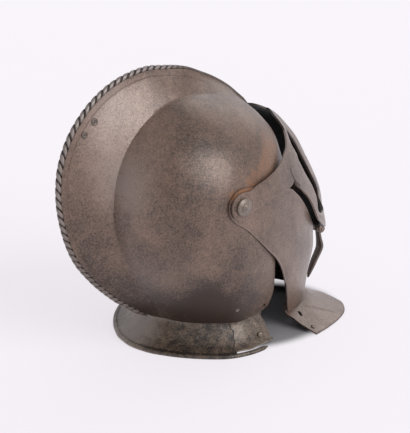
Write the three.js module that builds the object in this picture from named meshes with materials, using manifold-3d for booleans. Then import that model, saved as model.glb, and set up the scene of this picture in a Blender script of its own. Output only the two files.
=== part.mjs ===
import * as THREE from "three";
import Module from "manifold-3d";

const wasm = await Module();
wasm.setup();

// Frame: millimetres, +Z up, floor at z = 0, the face looks along -Y, the wearer's right is -X.
// Turns are degrees about the pivot axis: 0 ahead, 90 up, 180 back. Reaches are mm from that axis.
const PIVOT_Y = 31.7;
const PIVOT_Z = 168;
const GAP = 0.4;
const MIDDLE_GAP = 0.2;

// Plate thicknesses.
const SKULL_WALL = 2.0;
const BEVOR_WALL = 1.8;
const VISOR_WALL = 2.0;
const GORGET_WALL = 1.6;

// Shells: half width on the pivot axis, power of the rounded section, reach of the middle line by turn.
// leftLift is how far, in degrees, the top edge is bent up on the left.
const SKULL = {
  half: 98.6,
  power: 2.0,
  reach: [
    { turn: -102, mm: 141 },
    { turn: -89, mm: 170 },
    { turn: -79, mm: 205 },
    { turn: -64, mm: 209 },
    { turn: -50, mm: 192 },
    { turn: -36, mm: 176 },
    { turn: -10, mm: 142 },
    { turn: 0, mm: 128 },
    { turn: 8, mm: 119.5 },
    { turn: 16, mm: 117 },
    { turn: 22, mm: 116.5 },
    { turn: 34, mm: 111.5 },
    { turn: 45, mm: 107 },
    { turn: 60, mm: 101 },
    { turn: 75, mm: 96 },
    { turn: 90, mm: 95 },
    { turn: 170, mm: 95 },
    { turn: 197, mm: 98 },
    { turn: 220, mm: 105 },
    { turn: 240, mm: 116 },
    { turn: 258, mm: 141 },
  ],
};
const BEVOR = {
  half: 101,
  power: 1.8,
  leftLift: 0,
  reach: [
    { turn: -180, mm: 262 },
    { turn: -70, mm: 262 },
    { turn: -57, mm: 253 },
    { turn: -53, mm: 250 },
    { turn: -48, mm: 242 },
    { turn: -44, mm: 230 },
    { turn: -38, mm: 217 },
    { turn: -32, mm: 209 },
    { turn: -26, mm: 197 },
    { turn: -20, mm: 188 },
    { turn: -14, mm: 182 },
    { turn: -2, mm: 172 },
    { turn: 10, mm: 165 },
    { turn: 180, mm: 165 },
  ],
};
const VISOR = {
  half: 104.8,
  power: 1.8,
  leftLift: 3.2,
  reach: [
    { turn: -180, mm: 226 },
    { turn: -60, mm: 226 },
    { turn: -26, mm: 218 },
    { turn: -20, mm: 206 },
    { turn: -14, mm: 192 },
    { turn: -8, mm: 177 },
    { turn: -2, mm: 164 },
    { turn: 4, mm: 154 },
    { turn: 10, mm: 146 },
    { turn: 16, mm: 139.5 },
    { turn: 22, mm: 134 },
    { turn: 34, mm: 122 },
    { turn: 45, mm: 117 },
    { turn: 180, mm: 117 },
  ],
};

// Comb: outer reach of the rope along the crest.
const CREST = [
  { turn: 12, mm: 123.5 },
  { turn: 22, mm: 121.5 },
  { turn: 34, mm: 117.5 },
  { turn: 45, mm: 114 },
  { turn: 60, mm: 112.9 },
  { turn: 70, mm: 113.6 },
  { turn: 83, mm: 118 },
  { turn: 96, mm: 123.6 },
  { turn: 105, mm: 130 },
  { turn: 114, mm: 135 },
  { turn: 125, mm: 141 },
  { turn: 139, mm: 146.7 },
  { turn: 154, mm: 150.3 },
  { turn: 161, mm: 150.5 },
  { turn: 172, mm: 148.4 },
  { turn: 187, mm: 144 },
  { turn: 205, mm: 140 },
  { turn: 216, mm: 136.8 },
  { turn: 227, mm: 135.6 },
  { turn: 238, mm: 137 },
  { turn: 250, mm: 142 },
  { turn: 258, mm: 147.5 },
];
const COMB = { tip: 2.6, foot: 18, curve: 2.0, seat: 6.4 };
const ROPE = { radius: 3.0, lobes: 64, from: 31, to: 254.5, sides: 6, depth: 0.24, slant: 2.2 };

// Skull edge: turn and reach round the face opening and the neck, from the brow down and back to the nape.
const SKULL_EDGE = [
  { turn: 12, mm: 117 },
  { turn: 9, mm: 104 },
  { turn: 6, mm: 90 },
  { turn: 1, mm: 76 },
  { turn: -8, mm: 68 },
  { turn: -20, mm: 64 },
  { turn: -36, mm: 66 },
  { turn: -46, mm: 80 },
  { turn: -51, mm: 95 },
  { turn: -56, mm: 116 },
  { turn: -60, mm: 136 },
  { turn: -64.5, mm: 148 },
  { turn: -72, mm: 144 },
  { turn: -79, mm: 140.5 },
  { turn: -85, mm: 138.5 },
  { turn: -88, mm: 138.2 },
  { turn: -91, mm: 138 },
  { turn: -94, mm: 138.4 },
  { turn: -97, mm: 139 },
  { turn: -99, mm: 139.7 },
  { turn: -100.6, mm: 140.4 },
  { turn: -102, mm: 141 },
];

// Bevor and visor edges on the right: turn and reach of the lower and the upper edge, from the pivot to the middle.
const BEVOR_ROWS = [
  { low: [-160, 15], top: [160, 14] },
  { low: [-115, 17], top: [110, 14] },
  { low: [-72, 28], top: [45, 18] },
  { low: [-60, 45], top: [14, 34] },
  { low: [-54, 70], top: [1, 57] },
  { low: [-51.5, 90], top: [-4, 81] },
  { low: [-51.2, 106], top: [-9.5, 95] },
  { low: [-53, 129], top: [-15, 115] },
  { low: [-55.2, 150], top: [-20.3, 137] },
  { low: [-56.4, 168], top: [-23.2, 153] },
  { low: [-56.2, 181], top: [-24.9, 165] },
  { low: [-52.6, 189], top: [-26, 176] },
  { low: [-48.7, 200], top: [-27, 186] },
  { low: [-45.5, 211], top: [-27.6, 195] },
];
const BEVOR_MIDDLE = { low: -41.8, top: -28, across: [24, 11, 0] };
const VISOR_ROWS = [
  { low: [-160, 15], top: [160, 14.5] },
  { low: [-115, 13], top: [110, 13] },
  { low: [-36, 13], top: [56, 16] },
  { low: [-11.5, 25], top: [37, 27] },
  { low: [-3.8, 38], top: [27.8, 39.5] },
  { low: [-0.9, 53.6], top: [21.8, 60] },
  { low: [-1.2, 71], top: [20.5, 77] },
  { low: [-0.2, 82], top: [20.3, 88] },
  { low: [1.6, 88.5], top: [20.2, 96] },
  { low: [-2.8, 94], top: [20.6, 102] },
  { low: [-6.8, 104], top: [21.2, 109] },
  { low: [-11.6, 119], top: [21.5, 114] },
  { low: [-16.5, 132], top: [22, 118.5] },
  { low: [-21, 146], top: [23.4, 121] },
  { low: [-23, 164], top: [24.6, 123.5] },
];
const VISOR_MIDDLE = { low: -25.2, top: 22.8, across: [34, 20, 10, 0] };

// Keel of the visor: height of the nose ridge over the shell by turn.
const KEEL = [
  { turn: -40, mm: 6 },
  { turn: -26, mm: 9 },
  { turn: -20, mm: 18 },
  { turn: -14, mm: 20 },
  { turn: -8, mm: 19 },
  { turn: -2, mm: 18 },
  { turn: 4, mm: 17 },
  { turn: 10, mm: 14 },
  { turn: 16, mm: 10 },
  { turn: 24, mm: 4 },
  { turn: 34, mm: 0 },
];
const KEEL_HALF = 20;

// Sight opening on the right: turn and share of the reach, round the opening.
const SIGHT = [
  { turn: 18.2, share: 0.83 },
  { turn: 14.5, share: 0.79 },
  { turn: 10, share: 0.785 },
  { turn: 6.5, share: 0.755 },
  { turn: 0, share: 0.755 },
  { turn: -6, share: 0.768 },
  { turn: -12, share: 0.76 },
  { turn: -18, share: 0.725 },
  { turn: -19.5, share: 0.76 },
  { turn: -18.8, share: 0.86 },
  { turn: -17.5, share: 0.95 },
  { turn: -14, share: 0.98 },
  { turn: -6, share: 0.98 },
  { turn: 4, share: 0.98 },
  { turn: 12, share: 0.975 },
  { turn: 16.5, share: 0.96 },
  { turn: 18.4, share: 0.91 },
];

// Gorget plates: matching points along the neck edge and along the rim, right side, from the back to the front.
const REAR_GORGET = [
  { neckX: 0, neckBack: 25.2, rimX: 0, rimBack: 55 },
  { neckX: 14.6, neckBack: 21.8, rimX: 21.5, rimBack: 51.5 },
  { neckX: 28.4, neckBack: 17.2, rimX: 42, rimBack: 42 },
  { neckX: 42, neckBack: 11, rimX: 62.5, rimBack: 27.5 },
  { neckX: 52.5, neckBack: 0, rimX: 78.5, rimBack: 12 },
  { neckX: 61.5, neckBack: -12, rimX: 88.5, rimBack: -1.5 },
  { neckX: 67.6, neckBack: -24, rimX: 93.5, rimBack: -15.5 },
  { neckX: 68.9, neckBack: -35.5, rimX: 95.5, rimBack: -31 },
  { neckX: 68.2, neckBack: -49, rimX: 94, rimBack: -50 },
  { neckX: 66.8, neckBack: -64, rimX: 90, rimBack: -68 },
];
const GORGET_FLARE = [
  { drop: 0, z: 37 },
  { drop: 0.02, z: 27 },
  { drop: 0.22, z: 18 },
  { drop: 0.55, z: 9.5 },
  { drop: 1, z: 4 },
];
const RIM_ROLL = { radius: 2.3, sides: 8 };
const RIM_BENT_LEFT = 5;

const TORN_AT = 5.6;
const ROLL_END = 7.9;
const END_PLATE_FROM = 5.0;
const END_FLARE = [
  { drop: 0.005, z: 34.5 },
  { drop: 0.02, z: 27 },
  { drop: 0.22, z: 18 },
  { drop: 0.55, z: 9.5 },
  { drop: 0.84, z: 6 },
];

const FRONT_FLARE = [
  { drop: -0.02, z: 26 },
  { drop: 0, z: 17 },
  { drop: 0.3, z: 12 },
  { drop: 0.65, z: 6.5 },
  { drop: 1, z: 1.9 },
];
const FRONT_GORGET = [
  { topX: 62, topAhead: 99, rimX: 99, rimAhead: 109 },
  { topX: 58.5, topAhead: 110, rimX: 94.5, rimAhead: 128 },
  { topX: 49.5, topAhead: 127.5, rimX: 85, rimAhead: 156 },
  { topX: 41, topAhead: 138.5, rimX: 72, rimAhead: 177 },
  { topX: 28, topAhead: 151, rimX: 50, rimAhead: 190.5 },
  { topX: 14, topAhead: 160, rimX: 25, rimAhead: 192.5 },
  { topX: 0, topAhead: 163, rimX: 0, rimAhead: 189.5 },
];

// Pivot rivets: hole radius through the plates, and the turned profile from the inside out.
const PIVOT_RIVET = {
  hole: 3.6,
  profile: [
    { radius: 5.6, height: 93.6 },
    { radius: 5.6, height: 96.0 },
    { radius: 3.2, height: 96.0 },
    { radius: 3.2, height: 105.3 },
    { radius: 9.0, height: 105.3 },
    { radius: 8.3, height: 107.0 },
    { radius: 5.6, height: 108.6 },
    { radius: 2.0, height: 109.3 },
  ],
};

// Hasp: hinge place ahead of the pivot and above the floor, barrel and pin radii, half lengths of its knuckles.
const HASP = { ahead: 204, z: 69.5, barrel: 4.4, pin: 1.7, inner: 3.2, outer: 7.4 };
const HASP_BAR = [
  { ahead: 0.3, z: -2.6, half: 3.0, thick: 4.2 },
  { ahead: 2.2, z: -12, half: 3.6, thick: 4.2 },
  { ahead: 4, z: -22.5, half: 4.8, thick: 4.8 },
  { ahead: -5, z: -39, half: 4.0, thick: 5.0 },
  { ahead: -11.5, z: -52, half: 2.0, thick: 3.4 },
  { ahead: -13, z: -56, half: 0.8, thick: 1.4 },
];

// Small rivets: foot of the head, outward direction, size.
const RIVETS = [
  { name: "comb_rivet_upper", at: [-4.2, 133.9, 250.3], out: [-1, 0.07, 0.07], radius: 4.2, height: 1.2 },
  { name: "comb_rivet_lower", at: [-3.8, 145.9, 239.6], out: [-1, 0.08, 0.05], radius: 3.8, height: 1.2 },
  { name: "skull_edge_rivet", at: [-76.8, 14.4, 46.9], out: [-0.88, 0.27, -0.38], radius: 2.4, height: 1.0 },
  { name: "end_plate_rivet", at: [-77.0, -16.7, 10.7], out: [-0.75, -0.04, 0.66], radius: 2.8, height: 1.4 },
  { name: "front_gorget_rivet", at: [-88.3, -82.1, 5.0], out: [-0.31, -0.08, 0.95], radius: 2.4, height: 1.0 },
];

const group = new THREE.Group();
const METAL = { colour: 0x6f625a, roughness: 0.5, metalness: 0.9 };

const rad = (deg) => (deg * Math.PI) / 180;

// Smooth value of a table column at a key, held flat past both ends.
function lookup(table, key, value, at) {
  const last = table.length - 1;
  const up = table[last][key] > table[0][key] ? 1 : -1;
  if ((at - table[0][key]) * up <= 0) return table[0][value];
  if ((at - table[last][key]) * up >= 0) return table[last][value];
  let i = 0;
  while ((at - table[i + 1][key]) * up > 0) i++;
  const slope = (a, b) => (table[b][value] - table[a][value]) / (table[b][key] - table[a][key]);
  const step = table[i + 1][key] - table[i][key];
  const here = slope(i, i + 1);
  const blend = (a, b) => (a * b <= 0 ? 0 : (2 * a * b) / (a + b));
  const m0 = i > 0 ? blend(slope(i - 1, i), here) : here;
  const m1 = i + 1 < last ? blend(here, slope(i + 1, i + 2)) : here;
  const t = (at - table[i][key]) / step;
  const h00 = 2 * t ** 3 - 3 * t ** 2 + 1;
  const h10 = t ** 3 - 2 * t ** 2 + t;
  const h01 = -2 * t ** 3 + 3 * t ** 2;
  const h11 = t ** 3 - t ** 2;
  const a = table[i][value];
  const b = table[i + 1][value];
  return h00 * a + h10 * step * m0 + h01 * b + h11 * step * m1;
}

const reachOf = (shell, turn) => lookup(shell.reach, "turn", "mm", turn);

// Share of the middle reach at a distance across from the middle, and the other way round.
const shareAt = (shell, across) => (1 - Math.min(1, across / shell.half) ** shell.power) ** (1 / shell.power);
const acrossAt = (shell, share) => shell.half * (1 - Math.min(1, share) ** shell.power) ** (1 / shell.power);

// Point from side (-1 right, 1 left), distance across, turn and reach.
function polar(side, across, turn, reach) {
  const y = PIVOT_Y - reach * Math.cos(rad(turn));
  const z = PIVOT_Z + reach * Math.sin(rad(turn));
  return new THREE.Vector3(side * across, y, z);
}

// Solid from one closed list of points and triangles.
function solid(points, triangles) {
  const vertProperties = new Float32Array(points.length * 3);
  points.forEach((p, i) => vertProperties.set([p.x, p.y, p.z], i * 3));
  const triVerts = new Uint32Array(triangles.flat());
  return new wasm.Manifold(new wasm.Mesh({ numProp: 3, vertProperties, triVerts }));
}

// Area-weighted normals of a sheet.
function normalsOf(points, triangles) {
  const normals = points.map(() => new THREE.Vector3());
  for (const [a, b, c] of triangles) {
    const ab = points[b].clone().sub(points[a]);
    const ac = points[c].clone().sub(points[a]);
    const n = ab.cross(ac);
    for (const v of [a, b, c]) normals[v].add(n);
  }
  return normals.map((n) => n.normalize());
}

// Plate of even thickness under a sheet whose triangles face out; a half keeps its inside on its own side.
function plate(points, triangles, wall, side) {
  const count = points.length;
  const normals = normalsOf(points, triangles);
  const inner = points.map((p, i) => p.clone().addScaledVector(normals[i], -wall));
  if (side) for (const p of inner) p.x = side * Math.max(MIDDLE_GAP, side * p.x);
  const faces = triangles.map((t) => [...t]);
  const edges = new Map();
  for (const [a, b, c] of triangles) {
    faces.push([a + count, c + count, b + count]);
    for (const [p, q] of [[a, b], [b, c], [c, a]]) {
      if (!edges.delete(q + "_" + p)) edges.set(p + "_" + q, [p, q]);
    }
  }
  for (const [p, q] of edges.values()) {
    faces.push([q, p, p + count]);
    faces.push([q, p + count, q + count]);
  }
  return solid([...points, ...inner], faces);
}

// Two triangles of a four-cornered patch, split along its shorter diagonal.
function quad(points, a, b, c, d) {
  const even = points[a].distanceTo(points[c]) <= points[b].distanceTo(points[d]);
  return even ? [[a, b, c], [a, c, d]] : [[a, b, d], [b, c, d]];
}

// Grid of points as a sheet.
function gridSheet(rows, flip) {
  const cols = rows[0].length;
  const points = rows.flat();
  const triangles = [];
  for (let i = 0; i + 1 < rows.length; i++) {
    for (let j = 0; j + 1 < cols; j++) {
      const a = i * cols + j;
      const b = a + cols;
      for (const [p, q, r] of quad(points, a, b, b + 1, a + 1)) triangles.push(flip ? [p, r, q] : [p, q, r]);
    }
  }
  return { points, triangles };
}

// Closed tube round a path: rings of points, capped at both ends.
function tube(rings) {
  const sides = rings[0].length;
  const points = rings.flat();
  const triangles = [];
  for (let i = 0; i + 1 < rings.length; i++) {
    for (let j = 0; j < sides; j++) {
      const a = i * sides + j;
      const b = i * sides + ((j + 1) % sides);
      triangles.push([a, b, b + sides]);
      triangles.push([a, b + sides, a + sides]);
    }
  }
  const end = points.length - sides;
  for (let j = 1; j + 1 < sides; j++) {
    triangles.push([0, j + 1, j]);
    triangles.push([end, end + j, end + j + 1]);
  }
  const made = solid(points, triangles);
  return made.volume() > 0 ? made : solid(points, triangles.map(([a, b, c]) => [a, c, b]));
}

// Solid of revolution about an axis through a point: radius and height along the axis, from the bottom up.
function turned(profile, sides, at, axis) {
  const spin = new THREE.Quaternion().setFromUnitVectors(new THREE.Vector3(0, 0, 1), axis.clone().normalize());
  const rings = profile.map(({ radius, height }) => {
    const ring = [];
    for (let j = 0; j < sides; j++) {
      const turn = (2 * Math.PI * (j + 0.5)) / sides;
      const p = new THREE.Vector3(radius * Math.cos(turn), radius * Math.sin(turn), height);
      ring.push(p.applyQuaternion(spin).add(at));
    }
    return ring;
  });
  return tube(rings);
}

function add(name, body) {
  const mesh = body.getMesh();
  const geometry = new THREE.BufferGeometry();
  const count = mesh.vertProperties.length / mesh.numProp;
  const positions = new Float32Array(count * 3);
  for (let i = 0; i < count; i++) {
    positions.set(mesh.vertProperties.subarray(i * mesh.numProp, i * mesh.numProp + 3), i * 3);
  }
  geometry.setAttribute("position", new THREE.BufferAttribute(positions, 3));
  geometry.setIndex(new THREE.BufferAttribute(new Uint32Array(mesh.triVerts), 1));
  geometry.computeVertexNormals();
  const look = { color: METAL.colour, roughness: METAL.roughness, metalness: METAL.metalness };
  const part = new THREE.Mesh(geometry, new THREE.MeshStandardMaterial(look));
  part.name = name;
  group.add(part);
}

// Skull halves
const BROW_TURN = SKULL_EDGE[0].turn;
const NAPE_TURN = 258;
const CREST_SPOKES = 30;
const BOWL_ROWS = 7;
const FLANK_ROWS = 3;
const EDGE_KNEE = 0.93;

const tipReach = (turn) => lookup(CREST, "turn", "mm", turn) - COMB.seat;
const combHeight = (turn) => Math.max(0, tipReach(turn) - reachOf(SKULL, turn));

function skullSpoke(side, turn) {
  const points = [];
  const reach = reachOf(SKULL, turn);
  const rise = combHeight(turn);
  const tip = 0.3 + (COMB.tip - 0.3) * Math.min(1, rise / 8);
  const foot = Math.min(COMB.foot, 6 + rise);
  const lean = Math.asin(shareAt(SKULL, tip + foot));
  for (let j = 1; j <= BOWL_ROWS; j++) {
    const share = Math.sin((lean * j) / BOWL_ROWS);
    points.push(polar(side, acrossAt(SKULL, share), turn, reach * share));
  }
  for (let j = 1; j <= FLANK_ROWS; j++) {
    const up = j / FLANK_ROWS;
    const across = tip + foot * (1 - up) ** COMB.curve;
    points.push(polar(side, across, turn, reach * shareAt(SKULL, across) + rise * up));
  }
  return points;
}

// Spoke to the face or neck edge; its last rows crowd at the edge as they do on the crest.
function edgeSpoke(side, turn) {
  const points = [];
  const reach = reachOf(SKULL, turn);
  const edge = lookup(SKULL_EDGE, "turn", "mm", turn);
  const lean = Math.asin(Math.min(1, edge / reach));
  const count = BOWL_ROWS + FLANK_ROWS;
  for (let j = 1; j <= count; j++) {
    const inner = (EDGE_KNEE * j) / BOWL_ROWS;
    const outer = EDGE_KNEE + ((1 - EDGE_KNEE) * (j - BOWL_ROWS)) / FLANK_ROWS;
    const share = Math.sin(lean * (j <= BOWL_ROWS ? inner : outer));
    points.push(polar(side, acrossAt(SKULL, share), turn, reach * share));
  }
  return points;
}

function skullHalf(side) {
  const spokes = [];
  for (let i = 0; i <= CREST_SPOKES; i++) {
    const turn = BROW_TURN + ((NAPE_TURN - BROW_TURN) * i) / CREST_SPOKES;
    spokes.push(skullSpoke(side, turn));
  }
  for (const { turn } of [...SKULL_EDGE].reverse().slice(1, -1)) {
    spokes.push(edgeSpoke(side, turn));
  }
  const count = BOWL_ROWS + FLANK_ROWS;
  const points = [new THREE.Vector3(side * SKULL.half, PIVOT_Y, PIVOT_Z), ...spokes.flat()];
  const triangles = [];
  const put = (a, b, c) => triangles.push(side < 0 ? [a, c, b] : [a, b, c]);
  for (let i = 0; i < spokes.length; i++) {
    const a = 1 + i * count;
    const b = 1 + ((i + 1) % spokes.length) * count;
    put(0, b, a);
    for (let j = 0; j + 1 < count; j++) {
      for (const corners of quad(points, a + j, b + j, b + j + 1, a + j + 1)) put(...corners);
    }
  }
  return plate(points, triangles, SKULL_WALL, side);
}

// Bevor and visor: rows from the right pivot over the middle to the left pivot.
function bandRow(shell, side, row, columns) {
  const points = [];
  const at = ([turn, mm]) => new THREE.Vector2(Math.cos(rad(turn)) * mm, Math.sin(rad(turn)) * mm);
  const lift = side > 0 ? shell.leftLift * Math.min(1, Math.max(0, (row.top[1] - 90) / 30)) : 0;
  const low = at(row.low);
  const top = at([row.top[0] + lift, row.top[1]]);
  for (let j = 0; j <= columns; j++) {
    const p = low.clone().lerp(top, j / columns);
    const turn = (Math.atan2(p.y, p.x) * 180) / Math.PI;
    const reach = p.length();
    points.push(polar(side, acrossAt(shell, reach / reachOf(shell, turn)), turn, reach));
  }
  return points;
}

function middleRow(shell, side, from, middle, part, across, columns, keel) {
  const points = [];
  const ease = part ** 0.6;
  const low = from.low[0] + (middle.low - from.low[0]) * ease;
  const top = from.top[0] + (middle.top - from.top[0]) * ease + (side > 0 ? shell.leftLift : 0);
  for (let j = 0; j <= columns; j++) {
    const turn = low + ((top - low) * j) / columns;
    const ridge = keel ? lookup(KEEL, "turn", "mm", turn) * Math.max(0, 1 - across / KEEL_HALF) : 0;
    points.push(polar(side, across, turn, reachOf(shell, turn) * shareAt(shell, across) + ridge));
  }
  return points;
}

function band(shell, rows, middle, columns, wall, keel) {
  const from = rows[rows.length - 1];
  const start = acrossAt(shell, from.low[1] / reachOf(shell, from.low[0]));
  const half = (side) => [
    ...rows.map((row) => bandRow(shell, side, row, columns)),
    ...middle.across
      .filter((across) => side < 0 || across > 0)
      .map((across) => middleRow(shell, side, from, middle, 1 - across / start, across, columns, keel)),
  ];
  const { points, triangles } = gridSheet([...half(-1), ...half(1).reverse()], false);
  return plate(points, triangles, wall);
}

// Hole or rivet along the pivot axis on one side.
function pivotBar(side, radius, from, to) {
  const at = new THREE.Vector3(0, PIVOT_Y, PIVOT_Z);
  return turned([{ radius, height: from }, { radius, height: to }], 16, at, new THREE.Vector3(side, 0, 0));
}

// Cutter through the visor for one sight.
function sightCutter(side) {
  const ring = (scale) =>
    SIGHT.map(({ turn, share }) => {
      const reach = reachOf(VISOR, turn) * share;
      const across = acrossAt(VISOR, share);
      return polar(side, across * scale.across, turn, reach * scale.reach);
    });
  return tube([ring({ across: 0.8, reach: 0.86 }), ring({ across: 1.2, reach: 1.14 })]);
}

// Rope over the crest: rings shifted along the path so that the lobes slant.
function rope() {
  const stations = ROPE.lobes * 2;
  const rings = [];
  for (let i = 0; i <= stations; i++) {
    const turn = ROPE.from + ((ROPE.to - ROPE.from) * i) / stations;
    const ends = Math.min(1, (0.6 * (Math.min(i, stations - i) + 1)) / 3);
    const radius = ROPE.radius * ends * (i % 2 ? 1 : 1 - ROPE.depth);
    const reach = lookup(CREST, "turn", "mm", turn) - ROPE.radius;
    const centre = polar(1, 0, turn, reach);
    const out = polar(1, 0, turn, reach + 1).sub(centre);
    const along = polar(1, 0, turn + 0.5, reach).sub(centre).normalize();
    const ring = [];
    for (let j = 0; j < ROPE.sides; j++) {
      const spin = (2 * Math.PI * j) / ROPE.sides;
      const p = centre.clone().addScaledVector(out, radius * Math.cos(spin));
      p.x += radius * Math.sin(spin);
      ring.push(p.addScaledVector(along, ROPE.slant * Math.sin(spin)));
    }
    rings.push(ring);
  }
  return tube(rings);
}

// Rear gorget: place along the table (0 at the back, 9 at the front end), side and share of the flare.
function gorgetAt(place, side, flare) {
  const i = Math.min(REAR_GORGET.length - 2, Math.floor(place));
  const t = place - i;
  const mix = (key) => REAR_GORGET[i][key] * (1 - t) + REAR_GORGET[i + 1][key] * t;
  const x = mix("neckX") + (mix("rimX") - mix("neckX")) * flare.drop;
  const back = mix("neckBack") + (mix("rimBack") - mix("neckBack")) * flare.drop;
  return new THREE.Vector3(side * x + RIM_BENT_LEFT * flare.drop, PIVOT_Y + back, flare.z);
}

function places(from, to, count) {
  return Array.from({ length: count + 1 }, (_, i) => from + ((to - from) * i) / count);
}

// Signed places run from the right end (negative) round the back to the left end.
const onGorget = (place, flare) => gorgetAt(Math.abs(place), place < 0 ? -1 : 1, flare);

function rearGorget() {
  const rows = places(-TORN_AT, 9, 22).map((p) => GORGET_FLARE.map((flare) => onGorget(p, flare)));
  const { points, triangles } = gridSheet(rows, false);
  const rim = { drop: 1, z: 2.0 };
  const rings = places(-ROLL_END, 9, 26).map((p) => {
    const centre = onGorget(p, rim);
    const along = onGorget(Math.min(9, p + 0.05), rim).sub(onGorget(Math.max(-9, p - 0.05), rim)).normalize();
    const out = new THREE.Vector3(along.y, -along.x, 0);
    const ring = [];
    for (let j = 0; j < RIM_ROLL.sides; j++) {
      const spin = (2 * Math.PI * (j + 0.5)) / RIM_ROLL.sides;
      const q = centre.clone().addScaledVector(out, RIM_ROLL.radius * Math.cos(spin));
      q.z = Math.max(0, q.z + RIM_ROLL.radius * Math.sin(spin));
      ring.push(q);
    }
    return ring;
  });
  return plate(points, triangles, GORGET_WALL).add(tube(rings));
}

function gorgetEndPlate() {
  const rows = places(-9, -END_PLATE_FROM, 8).map((p) => END_FLARE.map((flare) => onGorget(p, flare)));
  const { points, triangles } = gridSheet(rows, false);
  const normals = normalsOf(points, triangles);
  const under = points.map((p, i) => p.clone().addScaledVector(normals[i], -GORGET_WALL - GAP));
  return plate(under, triangles, GORGET_WALL);
}

function frontGorget() {
  const half = (side) =>
    FRONT_GORGET.map((row) =>
      FRONT_FLARE.map(({ drop, z }) => {
        const x = row.topX + (row.rimX - row.topX) * drop;
        const ahead = row.topAhead + (row.rimAhead - row.topAhead) * drop;
        return new THREE.Vector3(side * x, PIVOT_Y - ahead, z);
      }),
    );
  const left = half(1);
  const { points, triangles } = gridSheet([...left, ...half(-1).reverse().slice(1)], false);
  return plate(points, triangles, GORGET_WALL);
}

// Domed rivet head standing just off a plate.
function rivet({ at, out, radius, height }) {
  const axis = new THREE.Vector3(...out).normalize();
  const foot = new THREE.Vector3(...at).addScaledVector(axis, 0.3);
  const dome = [
    { radius, height: 0 },
    { radius: radius * 0.86, height: height * 0.6 },
    { radius: radius * 0.4, height },
  ];
  return turned(dome, 8, foot, axis);
}

// Round bar across the middle, at the hinge of the hasp.
function hingeBar(radius, from, to, sides) {
  const at = new THREE.Vector3(0, PIVOT_Y - HASP.ahead, HASP.z);
  return turned([{ radius, height: from }, { radius, height: to }], sides, at, new THREE.Vector3(1, 0, 0));
}

function haspBar() {
  const rings = HASP_BAR.map(({ ahead, z, half, thick }) => {
    const y = PIVOT_Y - HASP.ahead - ahead;
    return [
      new THREE.Vector3(-half, y - thick / 2, HASP.z + z),
      new THREE.Vector3(half, y - thick / 2, HASP.z + z),
      new THREE.Vector3(half, y + thick / 2, HASP.z + z),
      new THREE.Vector3(-half, y + thick / 2, HASP.z + z),
    ];
  });
  return tube(rings);
}

const holes = (body, radius) =>
  [-1, 1].reduce((made, side) => made.subtract(pivotBar(side, radius, 80, 120)), body);

const skullRight = holes(skullHalf(-1), PIVOT_RIVET.hole);
const skullLeft = holes(skullHalf(1), PIVOT_RIVET.hole);
const bevor = holes(band(BEVOR, BEVOR_ROWS, BEVOR_MIDDLE, 7, BEVOR_WALL, false), PIVOT_RIVET.hole);

let visor = holes(band(VISOR, VISOR_ROWS, VISOR_MIDDLE, 8, VISOR_WALL, true), PIVOT_RIVET.hole);
for (const side of [-1, 1]) visor = visor.subtract(sightCutter(side));
visor = visor.subtract(hingeBar(HASP.barrel + 0.7, -HASP.inner - GAP, HASP.inner + GAP, 12));
visor = visor.add(hingeBar(HASP.barrel, -HASP.outer, -HASP.inner - GAP, 12));
visor = visor.add(hingeBar(HASP.barrel, HASP.inner + GAP, HASP.outer, 12));
visor = visor.subtract(hingeBar(HASP.pin + GAP, -30, 30, 8));

let hasp = hingeBar(HASP.barrel, -HASP.inner, HASP.inner, 12).add(haspBar());
hasp = hasp.subtract(hingeBar(HASP.pin + GAP, -30, 30, 8));

add("skull_right", skullRight);
add("skull_left", skullLeft);
add("comb_rope", rope());
add("rear_gorget", rearGorget());
add("rear_gorget_end_plate", gorgetEndPlate());
add("bevor", bevor);
add("front_gorget", frontGorget());
add("visor", visor);
add("hasp", hasp);
add("hasp_pin", hingeBar(HASP.pin, -HASP.outer - 0.8, HASP.outer + 0.8, 8));
for (const [name, side] of [["pivot_rivet_right", -1], ["pivot_rivet_left", 1]]) {
  const at = new THREE.Vector3(0, PIVOT_Y, PIVOT_Z);
  add(name, turned(PIVOT_RIVET.profile, 14, at, new THREE.Vector3(side, 0, 0)));
}
for (const row of RIVETS) add(row.name, rivet(row));

export default group;
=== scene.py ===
"""Close helmet with a roped comb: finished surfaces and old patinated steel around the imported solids."""
import math

import bpy
import numpy as np
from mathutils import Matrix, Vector


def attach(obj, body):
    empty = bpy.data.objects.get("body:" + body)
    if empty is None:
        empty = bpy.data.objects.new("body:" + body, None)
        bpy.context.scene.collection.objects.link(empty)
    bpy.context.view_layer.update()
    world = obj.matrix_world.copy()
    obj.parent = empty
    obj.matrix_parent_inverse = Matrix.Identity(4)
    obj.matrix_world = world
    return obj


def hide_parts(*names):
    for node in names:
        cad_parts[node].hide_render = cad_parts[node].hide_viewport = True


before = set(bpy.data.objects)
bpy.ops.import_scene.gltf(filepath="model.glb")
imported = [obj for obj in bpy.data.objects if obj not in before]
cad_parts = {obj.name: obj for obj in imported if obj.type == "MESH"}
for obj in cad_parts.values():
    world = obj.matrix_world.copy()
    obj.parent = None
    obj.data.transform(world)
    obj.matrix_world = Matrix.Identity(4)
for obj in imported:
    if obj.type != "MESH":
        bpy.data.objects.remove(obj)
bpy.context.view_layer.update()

# Sizes are millimetres in the helmet's frame: +Z up, the face looks along -Y, the wearer's right is -X.
# Turns are degrees about the pivot axis: 0 ahead, 90 up, 180 back. Reaches are mm from that axis.
MM = 0.001
PIVOT_Y, PIVOT_Z = 31.7, 168.0
PIVOT_HOLE = 3.7
SKULL_WALL, BEVOR_WALL, VISOR_WALL, GORGET_WALL = 2.0, 1.8, 2.0, 1.6
MIDDLE_GAP = 0.2

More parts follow.
